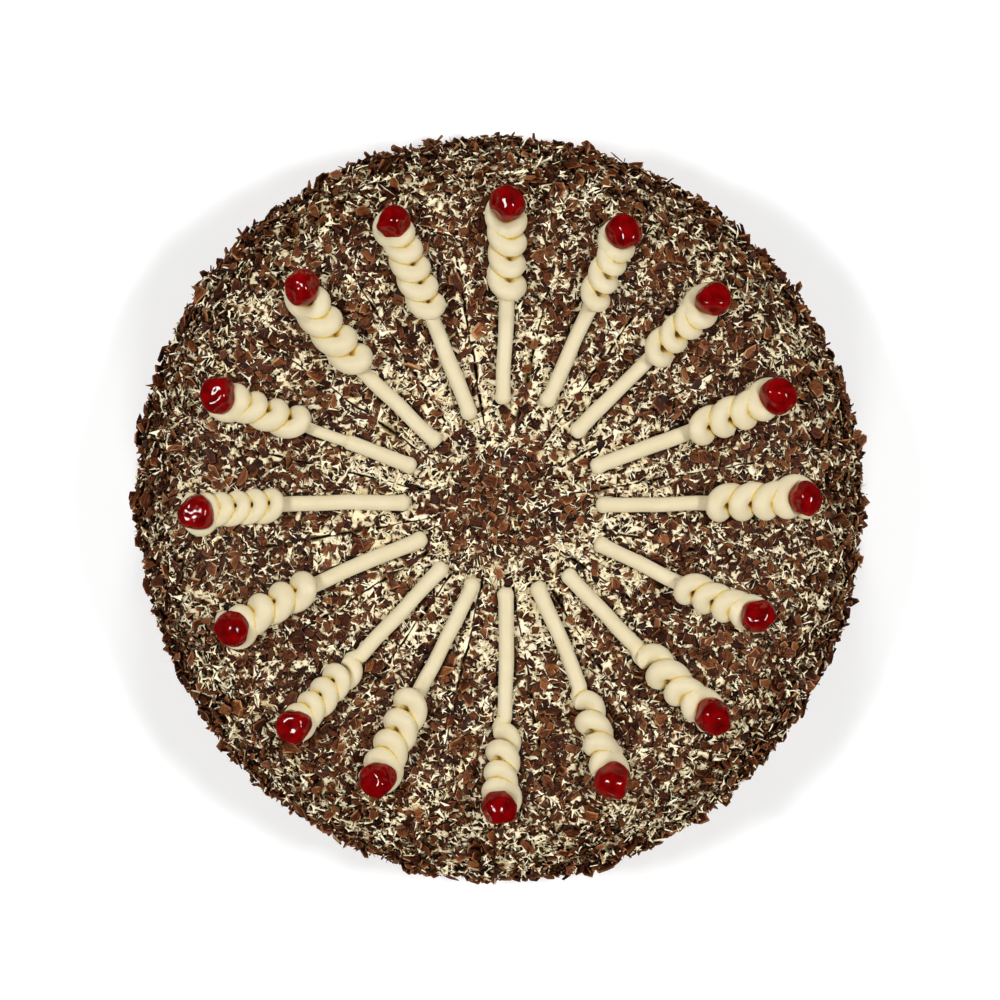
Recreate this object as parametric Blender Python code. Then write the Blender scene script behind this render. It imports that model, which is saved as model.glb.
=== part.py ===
"""Round cherry cream torte, cut into sixteen portions that still stand together.

Each portion is a wedge of the chocolate-coated cake. A bead of cream is piped along its middle: a
plain stem from the centre outwards, which then runs on in overlapping loops. The last loop is the
seat of a glazed cherry. The cake stands on z = 0 with its axis on the origin, and +Z is up.
"""

import math
import random

import bmesh
import bpy
from mathutils import Euler, Vector, noise

MM = 0.001
FULL_TURN = 2 * math.pi

# Cake
PORTIONS = 16
PORTION_ANGLE = FULL_TURN / PORTIONS
CUT_PHASE = math.radians(-1.5)
CUT_WIDTH = 0.6 * MM
BASE_RADIUS = 137.5 * MM
WALL_RADIUS = 136.5 * MM
WALL_HEIGHT = 35 * MM
RIM_HEIGHT = 60 * MM
DOME_RISE = 3 * MM
SHOULDER_WIDTH = 30 * MM
OVAL_SHARE = 0.013
OVAL_DIRECTION = math.radians(103)
LOBE_SHARE = 0.006
LOBE_DIRECTION = math.radians(26)
SEGMENTS_PER_PORTION = 4
TOP_RINGS = [35 * MM, 72 * MM, 106 * MM]
SHOULDER_STEPS = 4

# Piped cream. Heights are those of a round bead, which then sinks by the bead squash.
BEAD_SQUASH = 0.85
STEM_RADIUS = 2.85 * MM
STEM_AXIS_HEIGHT = 2.6 * MM
START_CAP_RADIUS = 3.2 * MM
START_CAP_STEPS = 3
START_CAP_RUN = 1.7
BEAD_SHARE_OF_PITCH = 0.452
LOOP_AXIS_HEIGHT = 3.5 * MM
CROSSING_LIFT = 5.8 * MM
SEAT_BEAD_RADIUS = 3.4 * MM
SEAT_LOOP_SHARE = 0.4
SEAT_LOOP_LEAST = 0.8 * MM
STEM_BEND_LENGTH = {False: 6 * MM, True: 4 * MM}
STEM_LEAD = {False: 3 * MM, True: 1 * MM}
STEM_POINTS = 12
LOOP_STEP = math.radians(18)
END_TAPER = {0: 0.4, 1: 0.7}
BEAD_SIDES_RESOLUTION = 3
SKIN_VOXEL = 0.5 * MM
SKIN_TRIANGLES = 300

# Turns of the nozzle: where the first crossing comes, where the looping starts, where it starts after
# a stem that turns straight in and how wide it then is, and how far it runs past the last crossing.
FIRST_CROSSING = 0.75 * FULL_TURN
START_TURN = {False: 0.25 * FULL_TURN, True: 0.6 * FULL_TURN}
STRAIGHT_ON_WIDTH = 0.6
LAST_TURN = 0.72 * FULL_TURN
CROSSING_FALL = FULL_TURN / 3
SEAT_RISE = FULL_TURN / 4

# Cherries
CHERRY_RADIUS = 6.8 * MM
CHERRY_HEIGHT = 8.8 * MM
CHERRY_SQUASH = 0.94
CHERRY_UNEVENNESS = 0.07
CHERRY_DENT_DETAIL = 1.3
CHERRY_NOISE_APART = 7.1
CHERRY_DIMPLE = 0.16
CHERRY_DIMPLE_EDGE = 0.6
CHERRY_LEAN = (35, 80)
CHERRY_MERIDIANS = 10
CHERRY_RINGS = 7

# Clearance between pieces that touch. The foot has more, because flat facets span the curved cake.
GAP = 0.3 * MM
FOOT_GAP = 0.4 * MM

# One row for each portion, counted anticlockwise from +X. The three pairs are where the stem starts,
# where the loops start and where the cherry sits: the distance from the axis in millimetres, and the
# drift from the portion's middle in degrees. Then how far in front of the cherry's middle its own
# loop begins, in millimetres, the bands of cream that cross the figure, and whether the stem turns
# straight into its first band, where otherwise it passes under that band. Last come the width of
# the looped part and the width of the cherry's own loop, in millimetres.
LAYOUT = [
    ((36, 1.0), (77, 1.0), (114, 1.5), 12.5, 4, False, 14.6, 18.0),
    ((37, 0.0), (76, -1.0), (112, -1.0), 13, 4, False, 14.0, 18.0),
    ((38, -1.0), (78, -0.5), (111, -1.0), 13, 4, False, 13.5, 17.0),
    ((41, -2.0), (81, -2.0), (112.5, -2.0), 12, 4, False, 12.8, 17.6),
    ((38, -2.0), (77, -2.0), (113, -1.5), 13.5, 4, False, 15.0, 17.2),
    ((34, -5.0), (74, -3.0), (113, -2.0), 10, 5, False, 14.2, 17.2),
    ((32, -1.5), (71, 0.0), (110, -3.0), 14, 4, False, 15.4, 17.0),
    ((34, -2.5), (77, 0.0), (112.5, 1.0), 12.5, 4, False, 14.0, 16.8),
    ((33, -2.5), (80, -0.5), (113, 1.0), 9, 5, False, 13.4, 18.4),
    ((29, 0.0), (74, 0.5), (109.5, 2.0), 10, 4, False, 14.0, 17.4),
    ((29, 2.0), (76, 2.0), (112, 2.0), 9, 5, True, 13.2, 14.8),
    ((28, 4.0), (75, -1.0), (111.5, -1.5), 12.5, 4, False, 14.8, 17.2),
    ((30, 4.5), (79, 1.5), (111.5, 0.0), 11, 4, True, 13.5, 17.2),
    ((31, 3.5), (74, 1.5), (110.5, 0.0), 13, 4, True, 13.2, 15.6),
    ((34, 0.5), (73, -0.5), (111.5, 0.5), 13.5, 4, True, 14.4, 15.8),
    ((38, 2.5), (72, -0.5), (105, -0.5), 11.5, 4, False, 13.6, 15.0),
]


def clear_scene():
    for obj in list(bpy.data.objects):
        bpy.data.objects.remove(obj, do_unlink=True)


def add_material(name, colour, roughness):
    material = bpy.data.materials.new(name)
    material.use_nodes = True
    shader = material.node_tree.nodes["Principled BSDF"]
    shader.inputs["Base Color"].default_value = (*colour, 1.0)
    shader.inputs["Roughness"].default_value = roughness
    shader.inputs["Metallic"].default_value = 0.0
    return material


def add_object(name, mesh, material):
    obj = bpy.data.objects.new(name, mesh)
    bpy.context.scene.collection.objects.link(obj)
    if material:
        mesh.materials.append(material)
    return obj


def make_cutter(obj):
    obj.hide_render = True
    obj.display_type = "WIRE"


def mesh_from(bm, name):
    bmesh.ops.recalc_face_normals(bm, faces=bm.faces)
    mesh = bpy.data.meshes.new(name)
    bm.to_mesh(mesh)
    bm.free()
    return mesh


def out_of_round(angle):
    """How far the outline reaches in this direction, as a share of the true circle."""
    oval = OVAL_SHARE * math.cos(2 * (angle - OVAL_DIRECTION))
    lobes = LOBE_SHARE * math.cos(3 * (angle - LOBE_DIRECTION))
    return 1 + oval + lobes


def profile_height(radius):
    """Height of the cake's top and rounded shoulder at a radius of the true circle."""
    dome = DOME_RISE * (1 - (radius / WALL_RADIUS) ** 2)
    across = max(0.0, radius - (WALL_RADIUS - SHOULDER_WIDTH)) / SHOULDER_WIDTH
    drop = (RIM_HEIGHT - WALL_HEIGHT) * (1 - math.sqrt(max(0.0, 1 - across**2)))
    return RIM_HEIGHT + dome - drop


def cake_height(x, y):
    angle = math.atan2(y, x)
    return profile_height(math.hypot(x, y) / out_of_round(angle))


def top_stations():
    """Radii at which the profile has its corners, from the first ring out to the wall."""
    stations = list(TOP_RINGS)
    for step in range(1, SHOULDER_STEPS + 1):
        turn = step / SHOULDER_STEPS * math.pi / 2
        stations.append(WALL_RADIUS - SHOULDER_WIDTH * (1 - math.sin(turn)))
    return stations


def rim_point(radius, height, angle, sideways):
    """A point of a ring, moved sideways by a distance square to its own direction."""
    reach = radius * out_of_round(angle)
    along = Vector((math.cos(angle), math.sin(angle), 0))
    across = Vector((-math.sin(angle), math.cos(angle), 0))
    return along * reach + across * sideways + Vector((0, 0, height))


def middle_angle(portion):
    return portion * PORTION_ANGLE + CUT_PHASE


def slice_mesh(portion):
    """A wedge between two upright cuts, its tip where the cuts meet just short of the axis."""
    bm = bmesh.new()
    half_cut = CUT_WIDTH / 2
    tip_radius = half_cut / math.sin(PORTION_ANGLE / 2)
    middle = middle_angle(portion)
    tip_x = tip_radius * math.cos(middle)
    tip_y = tip_radius * math.sin(middle)
    tip_top = bm.verts.new((tip_x, tip_y, profile_height(0)))
    tip_base = bm.verts.new((tip_x, tip_y, 0))
    columns = []
    for step in range(SEGMENTS_PER_PORTION + 1):
        angle = middle + (step / SEGMENTS_PER_PORTION - 0.5) * PORTION_ANGLE
        sideways = {0: half_cut, SEGMENTS_PER_PORTION: -half_cut}.get(step, 0.0)
        column = [bm.verts.new(rim_point(r, profile_height(r), angle, sideways)) for r in top_stations()]
        column.append(bm.verts.new(rim_point(BASE_RADIUS, 0, angle, sideways)))
        columns.append(column)
    for left, right in zip(columns, columns[1:]):
        bm.faces.new((tip_top, left[0], right[0]))
        bm.faces.new((tip_base, right[-1], left[-1]))
        for row in range(len(left) - 1):
            bm.faces.new((left[row], left[row + 1], right[row + 1], right[row]))
    for column in (columns[0], columns[-1]):
        bm.faces.new([tip_top, *column, tip_base])
    return mesh_from(bm, "slice")


def drift_at(radius, places):
    """Smooth drift in degrees through the three places of a layout row."""
    drift = 0.0
    for here, (reach, degrees) in enumerate(places):
        weight = 1.0
        for there, (other, _) in enumerate(places):
            if there != here:
                weight *= (radius - other * MM) / ((reach - other) * MM)
        drift += weight * degrees
    return drift


def figure_point(portion, radius):
    """A point of the piped figure's middle line, and the directions outward and to its left."""
    places = LAYOUT[portion][:3]
    angle = portion * PORTION_ANGLE + math.radians(drift_at(radius, places))
    outward = Vector((math.cos(angle), math.sin(angle), 0))
    leftward = Vector((-math.sin(angle), math.cos(angle), 0))
    return outward * radius, outward, leftward


def raised(point, height):
    return Vector((point.x, point.y, height))


def stem_points(portion, end_radius, end_side):
    """The plain bead from its rounded start to the loops, as (point, bead radius).

    Over its last stretch it bends to the given distance left of the middle line.
    """
    start_radius = LAYOUT[portion][0][0] * MM
    points = []
    for step in range(START_CAP_STEPS):
        share = (step + 0.5) / START_CAP_STEPS
        radius = start_radius + START_CAP_RADIUS * share
        bead = START_CAP_RADIUS * math.sqrt(1 - (1 - share) ** 2)
        points.append((raised(figure_point(portion, radius)[0], STEM_AXIS_HEIGHT), bead))
    first = start_radius + START_CAP_RADIUS * START_CAP_RUN
    for step in range(STEM_POINTS):
        radius = first + (end_radius - first) * step / (STEM_POINTS - 1)
        centre, _, leftward = figure_point(portion, radius)
        bend = max(0.0, 1 - (end_radius - radius) / STEM_BEND_LENGTH[LAYOUT[portion][5]])
        points.append((raised(centre + leftward * end_side * bend, STEM_AXIS_HEIGHT), STEM_RADIUS))
    return points


def crossing_lift(turn, last_crossing, straight_on):
    """How far the bead is lifted at this turn to pass over the cream that lies there already."""
    lift = CROSSING_LIFT * (1 - math.sin(turn)) / 2
    if turn > last_crossing:
        lift *= max(0.0, 1 - (turn - last_crossing) / CROSSING_FALL)
    if straight_on:
        lift *= min(1.0, max(0.0, (turn - FIRST_CROSSING) / FULL_TURN))
    return lift


def loop_points(portion):
    """The looping bead. Seen from above it turns clockwise while it moves outward.

    The turn angle is 0 at the left, a quarter turn at the outer side, a half turn at the right and
    three quarters at the inner side, where the bead crosses over what lies there already.
    """
    _, knee, cherry, seat_front, bands, straight_on, width, nest_width = LAYOUT[portion]
    seat_loop = SEAT_LOOP_SHARE * seat_front * MM + SEAT_LOOP_LEAST
    seat_side = nest_width * MM / 2 - SEAT_BEAD_RADIUS
    pitch = (cherry[0] - seat_front - knee[0]) * MM / (bands - 1)
    bead_radius = BEAD_SHARE_OF_PITCH * pitch
    loop_radius = width * MM / 2 - bead_radius
    first_centre = knee[0] * MM + bead_radius + loop_radius
    last_centre = (cherry[0] - seat_front) * MM + SEAT_BEAD_RADIUS + seat_loop
    last_crossing = FIRST_CROSSING + (bands - 1) * FULL_TURN
    start_turn = START_TURN[straight_on]
    end_turn = last_crossing + LAST_TURN
    steps = round((end_turn - start_turn) / LOOP_STEP)
    points = []
    for step in range(steps + 1):
        turn = start_turn + (end_turn - start_turn) * step / steps
        share = min(1.0, (turn - FIRST_CROSSING) / (last_crossing - FIRST_CROSSING))
        centre, outward, leftward = figure_point(portion, first_centre + (last_centre - first_centre) * share)
        seat = min(1.0, max(0.0, (turn - last_crossing) / SEAT_RISE + 1))
        reach = loop_radius + (seat_loop - loop_radius) * seat
        side = loop_radius + (seat_side - loop_radius) * seat
        opened = 1.0
        if straight_on:
            opened = min(1.0, turn / FULL_TURN) ** 2
            side *= min(1.0, STRAIGHT_ON_WIDTH + (turn - start_turn) / FULL_TURN)
        place = centre + leftward * math.cos(turn) * side + outward * math.sin(turn) * opened * reach
        height = LOOP_AXIS_HEIGHT + crossing_lift(turn, last_crossing, straight_on)
        bead = bead_radius + (SEAT_BEAD_RADIUS - bead_radius) * seat
        bead *= END_TAPER.get(steps - step, 1.0)
        points.append((raised(place, height), bead))
    return points


def bead_mesh(portion):
    """A closed tube along the whole route, laid out on a flat ground at z = 0."""
    loops = loop_points(portion)
    start = loops[0][0].to_2d()
    stem_end = start.length - STEM_LEAD[LAYOUT[portion][5]]
    centre, _, leftward = figure_point(portion, start.length)
    end_side = (start - centre.to_2d()).dot(leftward.to_2d())
    route = stem_points(portion, stem_end, end_side) + loops
    curve = bpy.data.curves.new("bead", "CURVE")
    curve.dimensions = "3D"
    curve.bevel_depth = STEM_RADIUS
    curve.bevel_resolution = BEAD_SIDES_RESOLUTION
    curve.use_fill_caps = True
    spline = curve.splines.new("POLY")
    spline.points.add(len(route) - 1)
    for point, (place, bead) in zip(spline.points, route):
        point.co = (*place, 1)
        point.radius = bead / STEM_RADIUS
    tube = bpy.data.objects.new("bead", curve)
    bpy.context.scene.collection.objects.link(tube)
    return baked(tube)


def baked(obj):
    """The object's evaluated mesh, taken in place of the object."""
    bpy.context.view_layer.update()
    graph = bpy.context.evaluated_depsgraph_get()
    mesh = bpy.data.meshes.new_from_object(obj.evaluated_get(graph))
    bpy.data.objects.remove(obj, do_unlink=True)
    return mesh


def skin_mesh(mesh):
    """One closed skin round a bead that runs into itself, sunk a little and laid on the cake.

    Its underside is flat on the cake's surface. The dense skin is then thinned.
    """
    solid = add_object("skin", mesh, None)
    remesh = solid.modifiers.new("one_skin", "REMESH")
    remesh.mode = "VOXEL"
    remesh.voxel_size = SKIN_VOXEL
    mesh = baked(solid)
    for vert in mesh.vertices:
        x, y, height = vert.co
        vert.co.z = cake_height(x, y) + max(height * BEAD_SQUASH, FOOT_GAP)
    solid = add_object("skin", mesh, None)
    decimate = solid.modifiers.new("thin", "DECIMATE")
    decimate.ratio = SKIN_TRIANGLES / (2 * len(mesh.polygons))
    return baked(solid)


def cherry_mesh(portion, grown=0.0):
    """A ball with a stalk dimple and a few soft dents, enlarged all round by the grown distance."""
    apart = Vector((portion * CHERRY_NOISE_APART, 0, 0))
    bm = bmesh.new()
    bmesh.ops.create_uvsphere(bm, u_segments=CHERRY_MERIDIANS, v_segments=CHERRY_RINGS, radius=1)
    for vert in bm.verts:
        way = vert.co.normalized()
        dent = CHERRY_UNEVENNESS * noise.noise(way * CHERRY_DENT_DETAIL + apart)
        dimple = CHERRY_DIMPLE * max(0.0, way.z - CHERRY_DIMPLE_EDGE) / (1 - CHERRY_DIMPLE_EDGE)
        vert.co = way * (CHERRY_RADIUS * (1 + dent - dimple) + grown)
        vert.co.z *= CHERRY_SQUASH
    return mesh_from(bm, "cherry")


def place_cherry(obj, portion):
    """Sets the cherry on the last loop, its stalk dimple turned to one side."""
    reach = LAYOUT[portion][2][0] * MM
    place = figure_point(portion, reach)[0]
    dice = random.Random(portion)
    lean = math.radians(dice.uniform(*CHERRY_LEAN))
    obj.rotation_euler = Euler((lean, 0, dice.uniform(0, FULL_TURN)))
    obj.location = raised(place, cake_height(place.x, place.y) + CHERRY_HEIGHT)


def build_portion(portion, materials):
    coating, cream, glaze = materials
    number = f"{portion + 1:02d}"
    add_object(f"slice_{number}", slice_mesh(portion), coating)

    cherry = add_object(f"cherry_{number}", cherry_mesh(portion), glaze)
    cherry.data.shade_smooth()
    place_cherry(cherry, portion)
    seat = add_object(f"cherry_seat_{number}", cherry_mesh(portion, GAP), None)
    place_cherry(seat, portion)
    make_cutter(seat)

    piping = add_object(f"piped_cream_{number}", skin_mesh(bead_mesh(portion)), cream)
    piping.data.shade_smooth()
    boolean = piping.modifiers.new("cherry_seat", "BOOLEAN")
    boolean.operation = "DIFFERENCE"
    boolean.object = seat


def main():
    clear_scene()
    materials = (
        add_material("chocolate_flaked_cream", (0.13, 0.06, 0.035), 0.6),
        add_material("piped_dairy_cream", (0.82, 0.7, 0.48), 0.45),
        add_material("glazed_cherry", (0.25, 0.005, 0.006), 0.12),
    )
    for portion in range(PORTIONS):
        build_portion(portion, materials)


main()
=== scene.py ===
"""Round cherry cream torte in sixteen portions, finished down to its chocolate flakes.

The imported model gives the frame. Each cake portion, each piped figure and each cherry is replaced by
a finer one in the same place. Loose chocolate flakes are pressed into the cream coat all over, and
threads of the cream are drawn up between them.
The cake stands on z = 0 with its axis on the origin. Lengths are in metres.
"""

import math
import random
from collections import namedtuple

import bpy
import numpy as np
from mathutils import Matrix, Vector, noise


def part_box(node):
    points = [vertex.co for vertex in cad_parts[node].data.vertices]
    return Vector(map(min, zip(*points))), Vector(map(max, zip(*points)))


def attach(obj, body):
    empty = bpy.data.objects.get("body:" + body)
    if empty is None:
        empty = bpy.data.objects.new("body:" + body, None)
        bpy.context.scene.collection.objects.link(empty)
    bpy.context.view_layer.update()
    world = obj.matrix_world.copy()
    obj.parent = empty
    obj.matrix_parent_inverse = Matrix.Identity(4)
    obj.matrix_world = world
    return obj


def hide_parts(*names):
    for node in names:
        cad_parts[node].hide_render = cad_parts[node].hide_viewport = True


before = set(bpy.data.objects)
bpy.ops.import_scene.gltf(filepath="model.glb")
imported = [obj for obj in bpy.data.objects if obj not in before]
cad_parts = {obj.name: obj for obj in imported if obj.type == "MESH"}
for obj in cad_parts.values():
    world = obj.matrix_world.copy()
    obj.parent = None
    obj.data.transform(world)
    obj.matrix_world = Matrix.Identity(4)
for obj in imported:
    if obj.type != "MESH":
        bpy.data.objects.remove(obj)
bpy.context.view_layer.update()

MM = 0.001
FULL_TURN = 2 * math.pi
SEED = 16

# Cake
PORTIONS = 16
PORTION_ANGLE = FULL_TURN / PORTIONS
CUT_PHASE = math.radians(-1.5)
CUT_WIDTH = 0.6 * MM
BASE_RADIUS = 137.5 * MM
WALL_RADIUS = 136.5 * MM
WALL_HEIGHT = 35 * MM
RIM_HEIGHT = 60 * MM
DOME_RISE = 3 * MM
SHOULDER_WIDTH = 30 * MM
OVAL_SHARE = 0.013
OVAL_DIRECTION = math.radians(103)
LOBE_SHARE = 0.006
LOBE_DIRECTION = math.radians(26)
TIP_RADIUS = CUT_WIDTH / 2 / math.sin(PORTION_ANGLE / 2)
ON_CUT = 0.01 * MM

# Mesh steps of a portion
WEDGE_STEPS = 44
TOP_STEP = 1.8 * MM
SHOULDER_STEPS = 24
WALL_STEP = 1.8 * MM
BASE_STEPS = 3
SMOOTH_UNDER = math.radians(50)

# Cuts. The knife presses the cream together below its edges, and at the top the edges crumble over
# the height and width given here. A gash is a stretch where they come well apart.
CUT_DEPTH = 7 * MM
CUT_PRESSED = 0.29 * MM
CUT_EDGE_ROUNDING = 0.4 * MM
CUT_EDGE_SEGMENTS = 3
TIP_LEFT_SHARP = 4 * MM
CRUMBLE_HEIGHT = 2.5 * MM
CRUMBLE_WIDTH = 2.2 * MM
CUT_RAGGEDNESS = 0.7 * MM
RAGGED_EVERYWHERE = 0.3
CUT_GAPE = 1 * MM
CUT_CLOSING = 0.25 * MM
CUT_WANDER = 0.7 * MM
WANDER_FROM_TIP = 20 * MM
GASH_RARITY = 0.1
GASH_WIDTH = 4.5 * MM
GASH_FADE = 8 * MM
CUT_SEEN = (27 * MM, 95 * MM)

# Unevenness of the spread cream: (depth, width of a wave). The wall's waves grow from one distance
# from the axis to another, and die away above the foot. Waves that differ from the coat's own are
# read so many metres apart from them.
COAT_WAVES = [(0.7 * MM, 24 * MM), (0.4 * MM, 9 * MM)]
WALL_WAVES = [(1.1 * MM, 30 * MM), (2.0 * MM, 12 * MM), (1.2 * MM, 4.5 * MM)]
WALL_WAVES_GROW = (90 * MM, 130 * MM)
WALL_WAVES_APART = 0.5
FOOT_BLEND = 8 * MM

# Unevenness along a cut, the same way, as a share
CRUMBLE_WAVES = [(0.9, 5 * MM), (0.6, 1.7 * MM)]
GASH_WAVES = [(1.0, 11 * MM)]
WANDER_WAVES = [(1.0, 8 * MM)]
CUTS_APART = 9 * MM

# Piped cream. Heights are those of a round bead, which then sinks by the bead squash.
BEAD_SQUASH = 0.85
STEM_RADIUS = 2.85 * MM
STEM_AXIS_HEIGHT = 2.6 * MM
START_CAP_RADIUS = 3.2 * MM
START_CAP_STEPS = 5
START_CAP_RUN = 1.7
BEAD_SHARE_OF_PITCH = 0.452
LOOP_AXIS_HEIGHT = 3.5 * MM
CROSSING_LIFT = 5.8 * MM
SEAT_BEAD_RADIUS = 3.4 * MM
SEAT_LOOP_SHARE = 0.4
SEAT_LOOP_LEAST = 0.8 * MM
STEM_STEP = 1 * MM
LOOP_STEP = math.radians(12)

# The next three ask whether the stem turns straight into its first band.
STEM_BEND_LENGTH = {False: 6 * MM, True: 4 * MM}
STEM_LEAD = {False: 3 * MM, True: 1 * MM}
START_TURN = {False: 0.25 * FULL_TURN, True: 0.6 * FULL_TURN}

FIRST_CROSSING = 0.75 * FULL_TURN
STRAIGHT_ON_WIDTH = 0.6
LAST_TURN = 0.72 * FULL_TURN
CROSSING_FALL = FULL_TURN / 3
SEAT_RISE = FULL_TURN / 4
END_TAPER = {0: 0.4, 1: 0.7}
SKIN_VOXEL = 0.32 * MM
SKIN_TRIANGLES = 22000
FOOT_DEPTH = 0.4 * MM
SKIN_SOFTENING = 1
# Crease depth, for the painted shade and yellow glow in creases: smoothing steps, millimetres before the
# loops where it stops, and the depth that counts in full.
CREASE_SPREAD = 10
CREASE_BEFORE_LOOPS = 3
CREASE_FULL_DEPTH = 0.24 * MM
BEAD_SIDES_RESOLUTION = 9
STEM_SWAY = 0.5 * MM
SWAY_LENGTH = 14 * MM
STEM_SWELL = 0.08
SWELL_APART = 40
LOOP_UNEVENNESS = 0.12
BEAD_UNEVENNESS = 0.1

# What the hand that pipes does unevenly: how far apart the portions lie in the noise, and its plane.
# The two waves are in radians of turn.
BY_HAND = {"sway": (3.7, 0.5), "loops": (5.3, 2.5), "bead": (5.3, 7.5)}
LOOPS_WAVE = 4
BEAD_WAVE = 3

# One row for each portion, counted anticlockwise from +X. The three pairs are where the stem starts,
# where the loops start and where the cherry sits: the distance from the axis in millimetres, and the
# drift from the portion's middle in degrees. Then how far in front of the cherry's middle its own
# loop begins, in millimetres, the bands of cream that cross the figure, and whether the stem turns
# straight into its first band, where otherwise it passes under that band. Last come the width of
# the looped part and the width of the cherry's own loop, in millimetres.
Figure = namedtuple("Figure", "start knee cherry seat_front bands straight_on width nest_width")
LAYOUT = [Figure(*row) for row in [
    ((36, 1.0), (77, 1.0), (114, 1.5), 12.5, 4, False, 14.6, 18.0),
    ((37, 0.0), (76, -1.0), (112, -1.0), 13, 4, False, 14.0, 18.0),
    ((38, -1.0), (78, -0.5), (111, -1.0), 13, 4, False, 13.5, 17.0),
    ((41, -2.0), (81, -2.0), (112.5, -2.0), 12, 4, False, 12.8, 17.6),
    ((38, -2.0), (77, -2.0), (113, -1.5), 13.5, 4, False, 15.0, 17.2),
    ((34, -5.0), (74, -3.0), (113, -2.0), 10, 5, False, 14.2, 17.2),
    ((32, -1.5), (71, 0.0), (110, -3.0), 14, 4, False, 15.4, 17.0),
    ((34, -2.5), (77, 0.0), (112.5, 1.0), 12.5, 4, False, 14.0, 16.8),
    ((33, -2.5), (80, -0.5), (113, 1.0), 9, 5, False, 13.4, 18.4),
    ((29, 0.0), (74, 0.5), (109.5, 2.0), 10, 4, False, 14.0, 17.4),
    ((29, 2.0), (76, 2.0), (112, 2.0), 9, 5, True, 13.2, 14.8),
    ((28, 4.0), (75, -1.0), (111.5, -1.5), 12.5, 4, False, 14.8, 17.2),
    ((30, 4.5), (79, 1.5), (111.5, 0.0), 11, 4, True, 13.5, 17.2),
    ((31, 3.5), (74, 1.5), (110.5, 0.0), 13, 4, True, 13.2, 15.6),
    ((34, 0.5), (73, -0.5), (111.5, 0.5), 13.5, 4, True, 14.4, 15.8),
    ((38, 2.5), (72, -0.5), (105, -0.5), 11.5, 4, False, 13.6, 15.0),
]]

# Where a stem was piped thin: from this distance from the axis in millimetres, and how thin
THIN_STEMS = {7: (62, 0.74)}

# Small tails and lumps of cream. A row is the portion's place in the layout, the distance from the
# axis, the distance left of the middle line and the height, then the way it points in degrees left
# of outward, its length and its bead radius. Lengths are in millimetres.
DABS = [
    (4, 46, 2.0, 1.6, 75, 4.5, 1.3),
    (7, 61, 0.4, 4.6, 10, 2.4, 1.2),
    (7, 58, -0.6, 4.7, -30, 1.2, 1.0),
]
DAB_STEPS = 4
DAB_TAPER = 0.7

# Cherries
CHERRY_FINENESS = 5
CHERRY_DENTS = [(0.07, 0.8), (0.045, 2.2)]
CHERRIES_APART = 7.1
CHERRY_SWELL = 1.06
CHERRY_FACETS = 8
CHERRY_FACET_DISTANCE = (0.76, 0.93)
CHERRY_FACET_SHARPNESS = 22
CHERRY_DIMPLE = 0.2
CHERRY_DIMPLE_WIDTH = 0.55
CHERRY_LEAN = (35, 80)

# Chocolate flakes. One row for each kind: how many at most, how many corners, the range of length in
# millimetres, the range of width as a share of the length, and the thickness in millimetres.
FLAKE_KINDS = {
    "broad_chocolate_shards": (1200, 6, (5.0, 9.5), (0.4, 0.8), 0.6),
    "large_chocolate_flakes": (6200, 5, (4.0, 6.8), (0.4, 0.85), 0.5),
    "four_cornered_flakes": (11000, 4, (2.6, 4.9), (0.4, 0.85), 0.45),
    "three_cornered_flakes": (9000, 3, (2.6, 5.2), (0.4, 0.9), 0.45),
    "small_chocolate_flakes": (6000, 4, (1.3, 2.3), (0.5, 1.0), 0.4),
    "chocolate_slivers": (14000, 3, (2.4, 5.4), (0.12, 0.26), 0.45),
    "chocolate_crumbs": (3500, 3, (0.8, 1.4), (0.6, 1.0), 0.5),
}

# Threads of the coat's own cream, drawn up over the flakes as the cake was rolled in them. The same
# columns. Those with six corners are forked in three, every other corner pulled in to the waist.
THREAD_KINDS = {
    "cream_threads": (10000, 3, (2.2, 6.0), (0.13, 0.26), 0.4),
    "forked_cream_threads": (6500, 6, (3.0, 6.5), (0.4, 0.9), 0.4),
}
FORKED_CORNERS = 6
FORK_WAIST = 0.22
LOOSE_KINDS = {**FLAKE_KINDS, **THREAD_KINDS}

# Shapes of one kind, each then broken differently: how far a corner reaches in or out, how far it
# swings as a share of the gap between corners, and how far it warps up as a share of the thickness.
# Here and below, False stands for a flake and True for a thread.
PATTERNS_PER_KIND = 6
LID_NARROWING = (0.75, 0.98)
LID_SLIP = (-0.12, 0.12)
REACHES = {False: (0.62, 1.25), True: (0.3, 1.5)}
SWINGS = (-0.3, 0.3)
WARPS = (-0.45, 0.45)
THICKNESS_SPREAD = (0.7, 1.3)

# Where they lie. The even steps are those of a plane's most even sequence, and more places are made
# than pieces, because cuts, piped beads and bare patches take some away.
EVEN_STEPS = (0.7548776662, 0.5698402910)
SCATTER_EXCESS = 1.6
FLAKE_JITTER = 0.45 * MM
TABLE_STEPS = 200
WALL_TABLE_STEPS = 100
LOWEST_FLAKE = 0.8 * MM
LEAN_STEP = 0.2 * MM
JITTER_RADIUS = 2 * MM
PATCH_WAVES = [(1.0, 11 * MM), (0.6, 4.5 * MM)]
PATCH_WAVES_APART = 3
PATCHINESS = {False: 0.3, True: -0.6}
USUALLY_STAYS = {False: 0.95, True: 0.65}
LEAST_STAYS = {False: 0.2, True: 0.1}
BURIED_SHARE = 0.55
PIPING_REACH = 5 * MM
CUT_CLEARANCE = {False: 1 * MM, True: 1.5 * MM}
CUT_COVERED = 0.2

# How they lie. Heights are of a piece's middle over the coat, in millimetres, and the higher a flake
# lies, the paler it is painted: painted light on top of the stack, painted shade lower down. On the
# wall, which starts at a distance along the surface, flakes lean out more and stand out by a share of
# their half length too.
WALL_STARTS = (115 * MM, 140 * MM)
TOP_TILT = 13
WALL_TILT = 50
TILT_SHARE = (0.3, 1)
FLAKE_SINK = -0.2
FLAKE_RISE = 0.7
LEAST_HEIGHT = {False: 0, True: 0.2}
WALL_FLAKE_RISE = 0.9
PAINTED_LIGHT_BY_HEIGHT = 0.55

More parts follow.
